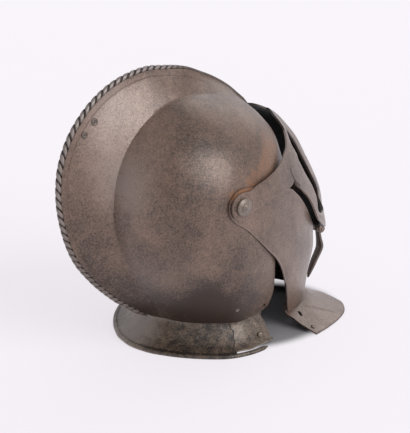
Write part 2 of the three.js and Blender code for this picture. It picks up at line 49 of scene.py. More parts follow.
# Shells: half width on the pivot axis, power of the rounded section, (turn, reach of the middle line).
SKULL = {
    "half": 98.6,
    "power": 2.0,
    "reach": [(-102, 141), (-89, 170), (-79, 205), (-64, 209), (-50, 192), (-36, 176), (-10, 142), (0, 128),
              (8, 119.5), (16, 117), (22, 116.5), (34, 111.5), (45, 107), (60, 101), (75, 96), (90, 95),
              (170, 95), (197, 98), (220, 105), (240, 116), (258, 141)],
}
BEVOR = {
    "half": 101.0,
    "power": 1.8,
    "reach": [(-180, 165), (-150, 175), (-120, 210), (-95, 245), (-70, 262), (-57, 253), (-53, 250),
              (-48, 242), (-44, 230), (-38, 217), (-32, 209), (-26, 197), (-20, 188), (-14, 182), (-2, 172),
              (10, 165),
              (180, 165)],
}
VISOR = {
    "half": 104.8,
    "power": 1.8,
    "reach": [(-180, 117), (-150, 130), (-115, 175), (-85, 212), (-60, 226), (-26, 218), (-20, 206),
              (-14, 192), (-8, 177), (-2, 164), (4, 154), (10, 146), (16, 139.5), (22, 134), (34, 122), (45,
                                                                                                         117),
              (180, 117)],
}

# Comb: (turn, outer reach of the rope along the crest), and the shape of its flanks. The folded lip along the
# right flank has its own rows, in mm below the top.
CREST = [(12, 123.5), (22, 121.5), (34, 117.5), (45, 114), (60, 112.9), (70, 113.6), (83, 118), (96, 123.6),
         (105, 130), (114, 135), (125, 141), (139, 146.7), (154, 150.3), (161, 150.5), (172, 148.4),
         (187, 144), (205, 140), (216, 136.8), (227, 135.6), (238, 137), (250, 142), (258, 147.5)]
COMB_TIP, COMB_FOOT, COMB_CURVE, COMB_SEAT = 2.4, 18.0, 1.35, 4.4
FOLD_DEEP, FOLD_PROUD = 6.0, 0.7
FOLD_ROWS = [9.0, 7.4, 6.6, 6.2, 5.8, 5.4, 3.4, 1.6, 0.0]
ROPE = {"radius": 3.1, "lobes": 64, "from": 31.0, "to": 254.5, "groove": 0.42, "smooth": (78, 104),
        "slim": 0.55}

# Skull edge round the face opening and the neck: (turn, reach), from the nape forward and up to the brow.
SKULL_EDGE = [(-102, 141), (-100.6, 140.4), (-99, 139.7), (-97, 139), (-94, 138.4), (-91, 138), (-88, 138.2),
              (-85, 138.5), (-79, 140.5), (-72, 144), (-64.5, 148), (-60, 136), (-56, 116), (-51, 95),
              (-46, 80), (-36, 66), (-20, 64), (-8, 68), (1, 76), (6, 90), (9, 104), (12, 117)]
BROW_TURN, NAPE_TURN, EDGE_KNEE = 12.0, 258.0, 0.93

# Bevor and visor edges from the pivot to the middle: low turn, low reach, top turn, top reach.
BEVOR_EDGES = [(-172, 14.6, 172, 14.6), (-155, 15, 155, 14.5), (-134, 15.8, 134, 14.3),
               (-110, 17.4, 110, 15.4), (-88, 21, 78, 16.8), (-72, 28, 48, 20.5), (-60, 45, 16, 34), (-54,
                                                                                                      70, 2,
                                                                                                      57),
               (-51.5, 90, -3, 81), (-51.2, 106, -8.5, 95), (-53, 129, -15, 115), (-55.2, 150, -20.3, 137),
               (-56.4, 168, -23.2, 153), (-56.2, 181, -24.9, 165), (-52.6, 189, -26, 176),
               (-48.7, 200, -27, 186), (-45.5, 211, -27.6, 195), (-41.8, 999, -28, 999)]
VISOR_EDGES = [(-172, 13.8, 172, 13.8), (-155, 13.8, 155, 13.8), (-133, 13.7, 133, 13.7),
               (-108, 13.5, 108, 13.5), (-76, 12.8, 82, 13.9), (-36, 13, 56, 16), (-11.5, 25, 37, 27),
               (-3.8, 38, 27.8, 39.5), (-0.9, 53.6, 21.8, 60), (-1.2, 71, 20.5, 77), (-0.2, 82, 20.3, 88),
               (1.6, 88.5, 20.2, 96), (-2.8, 94, 20.6, 102), (-6.8, 104, 21.2, 109), (-11.6, 119, 21.5, 114),
               (-16.5, 132, 22, 118.5), (-21, 146, 23.4, 121), (-23, 164, 24.6, 123.5),
               (-25.2, 999, 22.8, 999)]
KEEL = [(-40, 6), (-26, 9), (-20, 18), (-14, 20), (-8, 19), (-2, 18), (4, 17), (10, 14), (16, 10), (24, 4),
        (34, 0)]
KEEL_HALF = 20.0

# Sight opening: (turn, share of the reach) round it.
SIGHT = [(18.2, .83), (14.5, .79), (10, .785), (6.5, .755), (0, .755), (-6, .768), (-12, .76), (-18, .725),
         (-19.5, .76), (-18.8, .86), (-17.5, .95), (-14, .98), (-6, .98), (4, .98), (12, .975), (16.5, .96),
         (18.4, .91)]

# Left side of the visor: its top edge is lifted and crumpled, in degrees, and its sight stays under this
# share.
VISOR_LEFT_LIFT, VISOR_CRUMPLE, SIGHT_LEFT_SHARE = 3.2, 0.45, 0.972

# Neck plates: matching points of the neck edge and the rim, (neck x, neck back, rim x, rim back) and so on.
REAR_PLATE = [(0, 25.2, 0, 55), (14.6, 21.8, 21.5, 51.5), (28.4, 17.2, 42, 42), (42, 11, 62.5, 27.5),
              (52.5, 0, 78.5, 12), (61.5, -12, 88.5, -1.5), (67.6, -24, 93.5, -15.5), (68.9, -35.5, 95.5,
                                                                                       -31),
              (68.2, -49, 94, -50), (66.8, -64, 90, -68)]
REAR_FLARE = [(0, 37), (0.02, 27), (0.22, 18), (0.55, 9.5), (1, 4)]
END_FLARE = [(0.005, 34.5), (0.02, 27), (0.22, 18), (0.55, 9.5), (0.84, 6)]
RIM_ROLL, RIM_HEIGHT, RIM_BENT_LEFT = 2.3, 2.0, 5.0
TORN_AT, ROLL_END, END_PLATE_FROM, PLATE_END = 5.6, 7.9, 5.0, 9.0
FRONT_PLATE = [(62, 99, 99, 109), (58.5, 110, 94.5, 128), (49.5, 127.5, 85, 156), (41, 138.5, 72, 177),
               (28, 151, 50, 190.5), (14, 160, 25, 192.5), (0, 163, 0, 189.5)]
FRONT_FLARE = [(-0.02, 26), (0, 17), (0.3, 12), (0.65, 6.5), (1, 1.9)]

# Hasp: hinge place, barrel and pin, then the bar's (ahead, z, half width, thickness) from the hinge down.
HASP = {"ahead": 204.0, "z": 69.5, "barrel": 4.4, "pin": 1.7, "inner": 3.2, "outer": 7.4}
HASP_BAR = [(0.3, -2.6, 3.0, 4.2), (2.2, -12, 3.6, 4.2), (4, -22.5, 4.8, 4.8), (-5, -39, 4.0, 5.0),
            (-11.5, -52, 2.0, 3.4), (-13, -56, 0.8, 1.4)]
PIVOT_HEAD = [(5.6, 93.6), (5.6, 96), (3.2, 96), (3.2, 105.3), (9.0, 105.3), (9.0, 106.4), (8.5, 107),
              (4.5, 107.3), (4.2, 107.5), (3.8, 108.5), (2.4, 109.1), (0.02, 109.3)]

# Rivets: name, CAD node, body, foot, outward direction, radius, height.
RIVETS = [
    ("upper_comb_rivet", "comb_rivet_upper", "skull", (-4.2, 133.9, 250.3), (-1, 0.07, 0.07), 4.2, 1.2),
    ("lower_comb_rivet", "comb_rivet_lower", "skull", (-3.8, 145.9, 239.6), (-1, 0.08, 0.05), 3.8, 1.2),
    ("edge_rivet", "skull_edge_rivet", "skull", (-76.8, 14.4, 46.9), (-0.88, 0.27, -0.38), 2.4, 1.0),
    ("end_plate_stud", "end_plate_rivet", "skull", (-77.0, -16.7, 10.7), (-0.75, -0.04, 0.66), 2.8, 1.4),
    ("front_plate_stud", "front_gorget_rivet", "bevor", (-88.3, -82.1, 5.0), (-0.31, -0.08, 0.95), 2.4, 1.0),
]


def curve(table, at, column=1):
    """Smooth monotone cubic through the first column of a table against another, held flat past the ends."""
    keys, values = np.array(table, float)[:, [0, column]].T
    slope = np.diff(values) / np.diff(keys)
    product = slope[:-1] * slope[1:]
    total = np.where(np.abs(slope[:-1] + slope[1:]) < 1e-12, 1, slope[:-1] + slope[1:])
    tangent = np.concatenate([slope[:1], np.where(product > 0, 2 * product / total, 0), slope[-1:]])
    at = np.clip(at, keys[0], keys[-1])
    i = np.clip(np.searchsorted(keys, at, side="right") - 1, 0, len(keys) - 2)
    step = keys[i + 1] - keys[i]
    t = (at - keys[i]) / step
    ends = (2 * t**3 - 3 * t**2 + 1) * values[i] + (3 * t**2 - 2 * t**3) * values[i + 1]
    return ends + step * ((t**3 - 2 * t**2 + t) * tangent[i] + (t**3 - t**2) * tangent[i + 1])


def rows_curve(rows, at):
    """Smooth curve through the rows of a table, numbered from 0, one value for each of its columns."""
    numbered = np.column_stack([np.arange(len(rows)), np.array(rows, float)])
    return np.stack([curve(numbered, at, k) for k in range(1, numbered.shape[1])], -1)


def ease(low, high, x):
    """Smooth step from 0 at low to 1 at high."""
    t = np.clip((x - low) / (high - low), 0, 1)
    return t * t * (3 - 2 * t)


def polar(x, turn, reach):
    """Points from the distance across, the turn and the reach about the pivot axis."""
    angle = np.radians(turn)
    return np.stack(np.broadcast_arrays(x, PIVOT_Y - reach * np.cos(angle),
                                        PIVOT_Z + reach * np.sin(angle)), -1)


def share_at(shell, across):
    """Share of the middle reach at a distance across: (1 - (across / half)^power)^(1 / power)."""
    return (1 - np.clip(across / shell["half"], 0, 1) ** shell["power"]) ** (1 / shell["power"])


def across_at(shell, share):
    """Distance across at a share of the middle reach: half * (1 - share^power)^(1 / power)."""
    return shell["half"] * (1 - np.clip(share, 0, 1) ** shell["power"]) ** (1 / shell["power"])


def waves(points, length, seed):
    """Gentle bumps about one length across: the mean of sines along twelve fixed directions, from -1 to 1."""
    rng = np.random.default_rng(seed)
    way = rng.normal(size=(12, 3))
    way /= np.linalg.norm(way, axis=1)[:, None]
    pitch = length * rng.uniform(0.7, 1.5, 12)
    phase = rng.uniform(0, 2 * np.pi, 12)
    return np.sin(points @ (way / pitch[:, None]).T * 2 * np.pi + phase).mean(-1) * 2


def ragged(along, size):
    """Uneven torn edge: three sines of unlike pitch."""
    return size * (np.sin(9 * along) + 0.6 * np.sin(23 * along + 1) + 0.35 * np.sin(51 * along + 2))


def grid_quads(rows, cols, loop=False):
    """Four corners of each cell of a grid of rows by columns; a loop joins the last row to the first."""
    i = np.arange(rows if loop else rows - 1)[:, None]
    j = np.arange(cols - 1)[None, :]
    below = (i + 1) % rows
    corners = [i * cols + j, below * cols + j, below * cols + j + 1, i * cols + j + 1]
    return np.stack(np.broadcast_arrays(*corners), -1).reshape(-1, 4)


def sheet_normals(points, quads):
    """Unit normals of a sheet of quads, from the cross product of each cell's diagonals."""
    a, b, c, d = (points[quads[:, k]] for k in range(4))
    face = np.cross(c - a, d - b)
    normal = np.zeros_like(points)
    for k in range(4):
        np.add.at(normal, quads[:, k], face)
    return normal / np.maximum(np.linalg.norm(normal, axis=1, keepdims=True), 1e-9)


def open_edges(quads):
    """Edges that only one quad of a sheet has, in that quad's own direction."""
    edges = quads[:, [0, 1, 1, 2, 2, 3, 3, 0]].reshape(-1, 2)
    key = np.sort(edges, 1)
    _, first, count = np.unique(key[:, 0] * (1 << 32) + key[:, 1], return_index=True, return_counts=True)
    return edges[first[count == 1]]


def plate(points, quads, wall, side=0):
    """A sheet facing out, an inner sheet one wall behind it along the normals, and a strip round every open
    edge. A half of the skull keeps its inside on its own side of the middle. Also says which points are
    inside and which are on an edge."""
    count = len(points)
    inner = points - wall * sheet_normals(points, quads)
    if side:
        inner[:, 0] = side * np.maximum(MIDDLE_GAP, side * inner[:, 0])
    rim = open_edges(quads)
    strip = np.column_stack([rim[:, 1], rim[:, 0], rim[:, 0] + count, rim[:, 1] + count])
    inside = np.concatenate([np.zeros(count), np.ones(count)])
    edge = np.zeros(2 * count)
    edge[rim] = 1
    edge[rim + count] = 1
    faces = np.concatenate([quads, quads[:, ::-1] + count, strip])
    return np.concatenate([points, inner]), faces, inside * (1 - edge), edge


def outline_distance(places, outline):
    """Signed distance of places from a closed outline, below 0 inside, and the nearest point of the
    outline."""
    start, end = outline, np.roll(outline, -1, 0)
    way = end - start
    t = np.einsum("pkc,kc->pk", places[:, None] - start, way) / np.einsum("kc,kc->k", way, way)
    foot = start + np.clip(t, 0, 1)[..., None] * way
    gap = np.linalg.norm(places[:, None] - foot, axis=-1)
    best = gap.argmin(1)
    rows = np.arange(len(places))
    above = (start[:, 1] > places[:, 1:]) != (end[:, 1] > places[:, 1:])
    crossing = start[:, 0] + (places[:, 1:] - start[:, 1]) * way[:, 0] / np.where(way[:, 1] == 0, 1e-12,
                                                                                  way[:, 1])
    odd = (above & (places[:, :1] < crossing)).sum(1) % 2 == 1
    return np.where(odd, -1, 1) * gap[rows, best], foot[rows, best]


def cut_opening(places, quads, outline):
    """Drops the cells whose middle lies inside an outline and slides the cells' corners left on the cut onto
    it."""
    middle, _ = outline_distance(places[quads].mean(1), outline)
    dropped, kept = quads[middle < 0], quads[middle >= 0]
    on_cut = np.intersect1d(dropped, kept)
    moved = places.copy()
    moved[on_cut] = outline_distance(places[on_cut], outline)[1]
    return moved, kept


def closed_curve(points, count):
    """Smooth closed curve of count points through a few given ones, wrapped three rows past each end."""
    wrapped = np.concatenate([points[-3:], points, points[:3]])
    return rows_curve(wrapped, 3 + np.arange(count) * len(points) / count)


def ring_tube(rings):
    """Closed tube through rings of points, its ends closed to their middles."""
    count, sides = rings.shape[:2]
    i = np.arange(count - 1)[:, None]
    j = np.arange(sides)[None, :]
    after = (j + 1) % sides
    corners = [i * sides + j, i * sides + after, (i + 1) * sides + after, (i + 1) * sides + j]
    quads = np.stack(np.broadcast_arrays(*corners), -1).reshape(-1, 4)
    points = np.concatenate([rings.reshape(-1, 3), [rings[0].mean(0), rings[-1].mean(0)]])
    ring = np.arange(sides)
    turn = np.roll(ring, -1)
    last = (count - 1) * sides
    caps = np.concatenate([
        np.column_stack([np.full(sides, count * sides), turn, ring]),
        np.column_stack([np.full(sides, count * sides + 1), last + ring, last + turn]),
    ])
    return points, quads, caps


def turned(profile, sides, at, axis):
    """Solid of revolution: a table of (radius, height) carried round an axis through a point."""
    axis = np.array(axis, float) / np.linalg.norm(axis)
    across = np.cross(axis, (0.31, 0.17, 0.93))
    across /= np.linalg.norm(across)
    other = np.cross(axis, across)
    spin = np.linspace(0, 2 * np.pi, sides, endpoint=False)
    circle = np.cos(spin)[:, None] * across + np.sin(spin)[:, None] * other
    radius, height = np.array(profile, float).T
    rings = np.array(at, float) + radius[:, None, None] * circle + height[:, None, None] * axis
    return ring_tube(rings)


def join(*shapes):
    """Several (points, quads, triangles) shapes as one."""
    base = np.cumsum([0] + [len(s[0]) for s in shapes[:-1]])
    points = np.concatenate([s[0] for s in shapes])
    quads = np.concatenate([s[1] + b for s, b in zip(shapes, base)])
    triangles = np.concatenate([s[2] + b for s, b in zip(shapes, base)])
    return points, quads, triangles


NO_TRIANGLES = np.zeros((0, 3), int)


def add_piece(name, shape, material, body, node, inside=None, rust=None, pale=None, bevel=0.0):
    """Puts points and faces into a mesh in metres and lets it stand for a CAD node and ride on its body."""
    points, quads, triangles = shape
    mesh = bpy.data.meshes.new(name)
    mesh.vertices.add(len(points))
    mesh.vertices.foreach_set("co", (points * MM).astype(np.float32).ravel())
    corners = np.concatenate([quads.ravel(), triangles.ravel()]).astype(np.int32)
    sizes = np.concatenate([np.full(len(quads), 4), np.full(len(triangles), 3)])
    mesh.loops.add(len(corners))
    mesh.loops.foreach_set("vertex_index", corners)
    mesh.polygons.add(len(sizes))
    mesh.polygons.foreach_set("loop_start", np.concatenate([[0], np.cumsum(sizes)[:-1]]).astype(np.int32))
    mesh.update(calc_edges=True)
    mesh.validate()
    mesh.shade_smooth()
    mesh.set_sharp_from_angle(angle=math.radians(48))
    for label, values in (("inside", inside), ("rust", rust), ("pale", pale)):
        layer = mesh.attributes.new(label, "FLOAT", "POINT")
        filled = np.zeros(len(points), np.float32)
        if values is not None:
            filled[:len(values)] = values
        layer.data.foreach_set("value", filled)
    mesh.materials.append(material)
    piece = bpy.data.objects.new(name, mesh)
    bpy.context.scene.collection.objects.link(piece)
    if bevel:
        rounding = piece.modifiers.new("worn_edges", "BEVEL")
        rounding.width = bevel * MM
        rounding.segments = 2
        rounding.limit_method = "ANGLE"
        rounding.angle_limit = math.radians(50)
        rounding.harden_normals = False
    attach(piece, body)
    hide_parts(node)
    return piece


# Finishes

def linear(colour):
    """Linear RGBA of an sRGB hex colour such as 7a6356."""
    parts = np.array([int(colour[k:k + 2], 16) for k in (0, 2, 4)]) / 255
    return (*np.where(parts <= 0.04045, parts / 12.92, ((parts + 0.055) / 1.055) ** 2.4), 1.0)


def add_node(tree, kind, feeds=None, **settings):
    """Adds a node, sets its properties, and fills its inputs from values or from other nodes' outputs."""
    made = tree.nodes.new(kind)
    for key, value in settings.items():
        setattr(made, key, value)
    for key, value in (feeds or {}).items():
        if isinstance(value, bpy.types.NodeSocket):
            tree.links.new(value, made.inputs[key])
        else:
            made.inputs[key].default_value = value
    return made


def grain(mm):
    """Noise scale for a pattern about this many millimetres across, on Object coordinates in metres."""
    return 1 / (mm * MM)


def old_steel(name, light, dark, rust_colour, rust_level=0.0, metallic=0.3, rough=0.46, pits=1.0,
              mottle=0.6):
    """Steel plate raised by hammer, with an old brown oxide skin under wax: broadly mottled, finely speckled
    where the oxide is worn through, a neutral satin sheen from the wax, orange where rust has come back; the
    pale attribute adds wear and also painted shade and painted highlight, and the inside is painted near
    black as painted shade."""
    material = bpy.data.materials.new(name)
    material.use_nodes = True
    tree = material.node_tree
    tree.nodes.clear()
    place = add_node(tree, "ShaderNodeTexCoord").outputs["Object"]
    broad = add_node(tree, "ShaderNodeTexNoise", {"Vector": place, "Scale": grain(38),
                                                  "Detail": 3.0}).outputs["Fac"]
    blotch = add_node(tree, "ShaderNodeTexNoise", {"Vector": place, "Scale": grain(7), "Detail": 4.0,
                                                   "Roughness": 0.6}).outputs["Fac"]
    speck = add_node(tree, "ShaderNodeTexNoise", {"Vector": place, "Scale": grain(1.8), "Detail": 2.0,
                                                  "Roughness": 0.6}).outputs["Fac"]
    inside = add_node(tree, "ShaderNodeAttribute", attribute_name="inside").outputs["Fac"]
    rust = add_node(tree, "ShaderNodeAttribute", attribute_name="rust").outputs["Fac"]
    pale = add_node(tree, "ShaderNodeAttribute", attribute_name="pale").outputs["Fac"]

    tone = add_node(tree, "ShaderNodeMath", {0: blotch, 1: mottle, 2: broad},
                    operation="MULTIPLY_ADD").outputs[0]
    tone = add_node(tree, "ShaderNodeMath", {0: speck, 1: 1.5, 2: tone}, operation="MULTIPLY_ADD").outputs[0]
    # The pale attribute shifts the tone: wear on edges and rope, and painted shade and painted highlight from
    # the skull's patches.
    tone = add_node(tree, "ShaderNodeMath", {0: pale, 1: tone}, operation="ADD").outputs[0]
    share = add_node(tree, "ShaderNodeMapRange", {"Value": tone, "From Min": 0.75 + 0.5 * mottle,
                                                  "From Max": 1.75 + 0.5 * mottle}).outputs[0]
    skin = add_node(tree, "ShaderNodeMix", {0: share, 6: linear(dark), 7: linear(light)},
                    data_type="RGBA").outputs[2]
    # Where pale is above 0 the skin turns toward a neutral grey: rubbed wear, and a painted highlight from
    # the skull's patches.
    rubbed_and_highlight = add_node(tree, "ShaderNodeMapRange", {"Value": pale, "From Max": 0.6, "To Max": 0.7}).outputs[0]
    rubbed_and_highlight = add_node(tree, "ShaderNodeMath", {0: rubbed_and_highlight, 1: share}, operation="MULTIPLY").outputs[0]
    skin = add_node(tree, "ShaderNodeMix", {0: rubbed_and_highlight, 6: skin, 7: linear("847b77")},
                    data_type="RGBA").outputs[2]

    bloom = add_node(tree, "ShaderNodeMath", {0: blotch, 1: 0.9, 2: rust},
                     operation="MULTIPLY_ADD").outputs[0]
    bloom = add_node(tree, "ShaderNodeMapRange", {"Value": bloom, "From Min": 0.62 - rust_level,
                                                  "From Max": 1.25 - rust_level}).outputs[0]
    rusted = add_node(tree, "ShaderNodeMix", {0: bloom, 6: skin, 7: linear(rust_colour)},
                      data_type="RGBA").outputs[2]
    # Inner sheets painted near black: painted shade for the dark inside of the helmet.
    colour = add_node(tree, "ShaderNodeMix", {0: inside, 6: rusted, 7: linear("080706")},
                      data_type="RGBA").outputs[2]

    gloss = add_node(tree, "ShaderNodeMapRange", {"Value": tone, "From Min": 1.0, "From Max": 2.1,
                                                  "To Min": rough + 0.1, "To Max": rough - 0.08}).outputs[0]
    gloss = add_node(tree, "ShaderNodeMath", {0: bloom, 1: 0.25, 2: gloss},
                     operation="MULTIPLY_ADD").outputs[0]
    dents = add_node(tree, "ShaderNodeTexNoise", {"Vector": place, "Scale": grain(16),
                                                  "Detail": 1.0}).outputs["Fac"]
    beaten = add_node(tree, "ShaderNodeBump", {"Height": dents, "Strength": 0.35,
                                               "Distance": 0.5 * MM}).outputs[0]
    pitted = add_node(tree, "ShaderNodeBump", {"Height": speck, "Strength": 0.7 * pits, "Distance": 0.25 * MM,
                                               "Normal": beaten}).outputs[0]
    bare = add_node(tree, "ShaderNodeMapRange", {"Value": bloom, "To Min": metallic,
                                                 "To Max": 0.05}).outputs[0]
    wax = add_node(tree, "ShaderNodeMapRange", {"Value": pale, "From Min": -0.7, "From Max": 0.1,
                                                "To Min": 0.3,
                                                "To Max": 0.85}).outputs[0]
    wax = add_node(tree, "ShaderNodeMapRange", {"Value": inside, "To Min": wax, "To Max": 0.0}).outputs[0]
    shader = add_node(tree, "ShaderNodeBsdfPrincipled", {"Base Color": colour, "Metallic": bare,
                                                         "Roughness": gloss,
                                                         "Normal": pitted, "Coat Weight": wax,
                                                         "Coat Roughness": 0.38,
                                                         "Coat Normal": pitted})
    add_node(tree, "ShaderNodeOutputMaterial", {"Surface": shader.outputs[0]})
    return material


BROWN = old_steel("hammered_steel_brown_oxide", "7f6555", "2f1f16", "80522e")
DARK = old_steel("roped_steel_dark_oxide", "65554c", "231a16", "5a3d2c", rough=0.5)
RUSTED = old_steel("neck_plate_steel_pitted", "7d6a59", "211812", "5c3f29", rust_level=0.1, rough=0.54,
                   pits=1.6,
                   mottle=1.6)
WORN = old_steel("rivet_steel_worn", "85756a", "43352d", "7a4a2b", rough=0.42)


# Skull

def skull_reach(turn):
    """Middle reach of the skull, its table wrapped round so that it closes smoothly at the nape."""
    table = SKULL["reach"]
    return curve([(table[-2][0] - 360, table[-2][1]), *table, (table[1][0] + 360, table[1][1])], turn)


def on_skull(side, lean, turn):
    """Shell point at a lean from the pivot axis: reach = R(turn) sin lean, across = half cos lean."""
    share = np.sin(lean)
    return polar(side * across_at(SKULL, share), turn, skull_reach(turn) * share)


def beaten_out(points, quads, depth=0.28):
    """Hand-raised unevenness: moves a sheet along its normals by long and short gentle bumps, none at the
    pivots."""
    from_pivot = np.hypot(points[:, 1] - PIVOT_Y, points[:, 2] - PIVOT_Z)
    calm = ease(14, 40, from_pivot)
    bumps = waves(points, 52, 5) + 0.6 * waves(points, 24, 8)
    return points + (depth * calm * bumps)[:, None] * sheet_normals(points, quads)


def rope_share(turn):
    """Share of the rope's full size: slim over the brow, full along the back."""
    return ROPE["slim"] + (1 - ROPE["slim"]) * ease(*ROPE["smooth"], turn)


BOWL_ROWS, FLANK_ROWS = 52, 22
SKULL_HOLE = {"y": -26.4, "z": 39.4, "radius": 1.9}


def skull_half(side):
    """Half of the skull: one parameter is the turn round the pivot, the other runs outwards from the pivot
    hole. Spokes under the crest follow the shell to the comb's foot, then climb a flank whose half thickness
    is tip + foot (1 - up)^curve; the other spokes follow the shell to the face or neck edge, closer rows at
    the edge."""
    crest = np.linspace(BROW_TURN, NAPE_TURN, 300)[:, None]
    hole_turn = math.degrees(math.atan2(SKULL_HOLE["z"] - PIVOT_Z, PIVOT_Y - SKULL_HOLE["y"]))
    edge = np.linspace(NAPE_TURN - 360, BROW_TURN, 170)[1:-1]
    edge = np.unique(np.concatenate([edge, hole_turn + np.linspace(-1.6, 1.6, 24)]))[:, None]
    bowl = np.linspace(0, 1, BOWL_ROWS)[None, :]
    edge_up = np.linspace(0, 1, FLANK_ROWS + 1)[None, 1:]

    reach = skull_reach(crest)
    rise = np.maximum(0, curve(CREST, crest) - COMB_SEAT * rope_share(crest) - reach)
    near_top = 1 - np.array(FOLD_ROWS)[None, :] * np.minimum(1 / np.maximum(rise, 1e-6), 1 / 18)
    climbing = np.linspace(0, 1, FLANK_ROWS - len(FOLD_ROWS) + 2)[None, 1:-1]
    up = np.concatenate([climbing * near_top[:, :1], near_top], 1)
    tip = 0.3 + (COMB_TIP - 0.3) * np.minimum(1, rise / 8)
    foot = np.minimum(COMB_FOOT, 6 + rise)
    start, end = np.arcsin(PIVOT_HOLE / reach), np.arcsin(share_at(SKULL, tip + foot))
    flank = tip + foot * (1 - up) ** COMB_CURVE
    if side < 0:
        deep = rise * (1 - up)
        flank = flank + FOLD_PROUD * (1 - ease(FOLD_DEEP - 0.4, FOLD_DEEP + 0.4, deep)) * ease(10, 20, rise)
    climb = polar(side * flank, crest, reach * share_at(SKULL, flank) + rise * up)
    crest_spokes = np.concatenate([on_skull(side, start + (end - start) * bowl, crest), climb], 1)

    reach = skull_reach(edge)
    start = np.arcsin(PIVOT_HOLE / reach)
    end = np.arcsin(np.minimum(1, curve(SKULL_EDGE, edge) / reach))
    lean = np.concatenate([start + (EDGE_KNEE * end - start) * bowl,
                           end * (EDGE_KNEE + (1 - EDGE_KNEE) * edge_up)], 1)
    spokes = np.concatenate([crest_spokes, on_skull(side, lean, edge)])
    points = spokes.reshape(-1, 3)
    quads = grid_quads(len(spokes), spokes.shape[1], loop=True)
    if side < 0:
        spin = np.linspace(0, 2 * np.pi, 28, endpoint=False)
        rim = SKULL_HOLE["radius"] * np.column_stack([np.cos(spin), np.sin(spin)])
        moved, quads = cut_opening(points[:, 1:], quads, rim + (SKULL_HOLE["y"], SKULL_HOLE["z"]))
        slid = np.any(moved != points[:, 1:], 1)
        points[slid, 1:] = moved[slid]
        quads = quads[:, ::-1]
    points = beaten_out(points, quads)
    return plate(points, quads, SKULL_WALL, side)


def near(points, places):
    """Sum of soft round patches, each (x, y, z, radius, strength), falling off as exp(-(distance /
    radius)^2)."""
    total = np.zeros(len(points))
    for x, y, z, radius, strength in places:
        total += strength * np.exp(-((points - (x, y, z)) ** 2).sum(1) / radius**2)
    return total


# Rust has come back along the arms' upper edges. Patches are (x, y, z, radius, strength): below 0 the skin is
# darker, painted shade as on the comb's back and low on the bowl; above 0 it is paler, a painted highlight as
# high on the comb.
ARM_RUST = [(side * x, y, z, radius, level) for side in (-1, 1)
            for x, y, z, radius, level in [(97, 17, 186, 9, 0.42), (94, 4, 192, 10, 0.4), (89, -11, 197, 12,
                                                                                           0.34),
                                           (81, -22, 203, 14, 0.32), (68, -40, 205, 14, 0.3), (67, -29, 218,
                                                                                               18, 0.22),
                                           (50, -60, 204, 14, 0.26), (42, -62, 214, 14, 0.22), (98, 40, 180,
                                                                                                8, 0.45)]]
BEVOR_RUST = [(side * x, y, z, radius, level) for side in (-1, 1)
              for x, y, z, radius, level in [(100, 30, 186, 8, 0.8), (100, 18, 188, 8, 0.8), (99, 8, 188, 7,
                                                                                              0.6),
                                             (100, 42, 180, 7, 0.6)]]
# Skull patches: painted shade low on the bowl, on the comb's back and on the upper bowl's sides; painted
# highlight high on the comb.
SKULL_PAINTED_SHADE_AND_HIGHLIGHT = [(0, 85, 30, 45, -0.7), (0, 172, 170, 45, -0.35), (0, 135, 81, 40, -0.35), (0, 116, 264, 32,
                                                                                         0.45)]
SKULL_PAINTED_SHADE_AND_HIGHLIGHT += [(side * x, y, z, radius, level) for side in (-1, 1)
               for x, y, z, radius, level in [(60, 20, 35, 45, -0.6), (66, 50, 58, 32, -0.6), (30, 118, 190,
                                                                                               36, 0.5),
                                              (76, 52, 237, 22, -0.4), (84, 82, 168, 45, -0.2)]]
NECK_PALE = [(22, 78, 15, 34, 0.7), (-49, 40, 10, 34, -0.3), (-78, 0, 12, 30, -0.35)]
# Painted shadow line on the visor's right side, where the edge of its face strip shades the arm: (x, y, z)
# along it.
VISOR_SHADOW_LINE = [(-80.2, -53.3, 181.8), (-81.5, -53.6, 177.8), (-81.7, -56.3, 173.1), (-81.4, -60.9, 166.7),
              (-79.9, -66.7, 161.9)]

# Edges: rubbed bright, partly a painted highlight where they face the light; darker where the bevor meets its
# neck plate and round the front neck plate; the visor's edges on its left side are painted in shade.
EDGE_WEAR_AND_HIGHLIGHT, EDGE_DARK, VISOR_FAR_EDGE_SHADE = 0.45, -0.6, -0.8
BEVOR_LOW_EDGE, VISOR_LIT_SIDE = 60, -45
SHADOW_LINE_DARK, SHADOW_LINE_HALF = 1.1, 1.1

for side, name, node in ((-1, "right_skull_half", "skull_right"), (1, "left_skull_half", "skull_left")):
    points, quads, inside, _ = skull_half(side)
    add_piece(name, (points, quads, NO_TRIANGLES), BROWN, "skull", node, inside=inside,
              rust=near(points, ARM_RUST), pale=near(points, SKULL_PAINTED_SHADE_AND_HIGHLIGHT), bevel=0.35)


def comb_rope():
    """Rope along the crest: a tube whose radius dips in slanted grooves, 1 - groove (1 - |sin|)^2 of a phase
    that runs with the lobes along the crest and once round the tube. It is smooth and slim over the brow and
    tapers at both ends. Also gives the wear: bright on the lobes of the back, dark in the grooves."""
    along = np.linspace(0, 1, ROPE["lobes"] * 14 + 1)[:, None]
    spin = np.linspace(0, 2 * np.pi, 28, endpoint=False)[None, :]
    turn = ROPE["from"] + (ROPE["to"] - ROPE["from"]) * along
    twisted = ease(*ROPE["smooth"], turn)
    phase = np.pi * ROPE["lobes"] * along + spin
    uneven = 1 + 0.08 * np.sin(2 * np.pi * along * 17) + 0.05 * np.sin(2 * np.pi * along * 41 + 1)
    dip = uneven * (1 - np.abs(np.sin(phase))) ** 2
    taper = np.minimum(1, 0.3 + 24 * np.minimum(along, 1 - along)) * rope_share(turn)
    radius = ROPE["radius"] * (1 - ROPE["groove"] * twisted * dip) * taper
    centre = curve(CREST, turn) - ROPE["radius"] * rope_share(turn)
    rings = polar(radius * np.sin(spin), turn, centre + radius * np.cos(spin))
    worn = twisted * (0.7 - 2.6 * dip) * (1 - 0.7 * ease(165, 205, turn))
    return ring_tube(rings), worn.ravel()


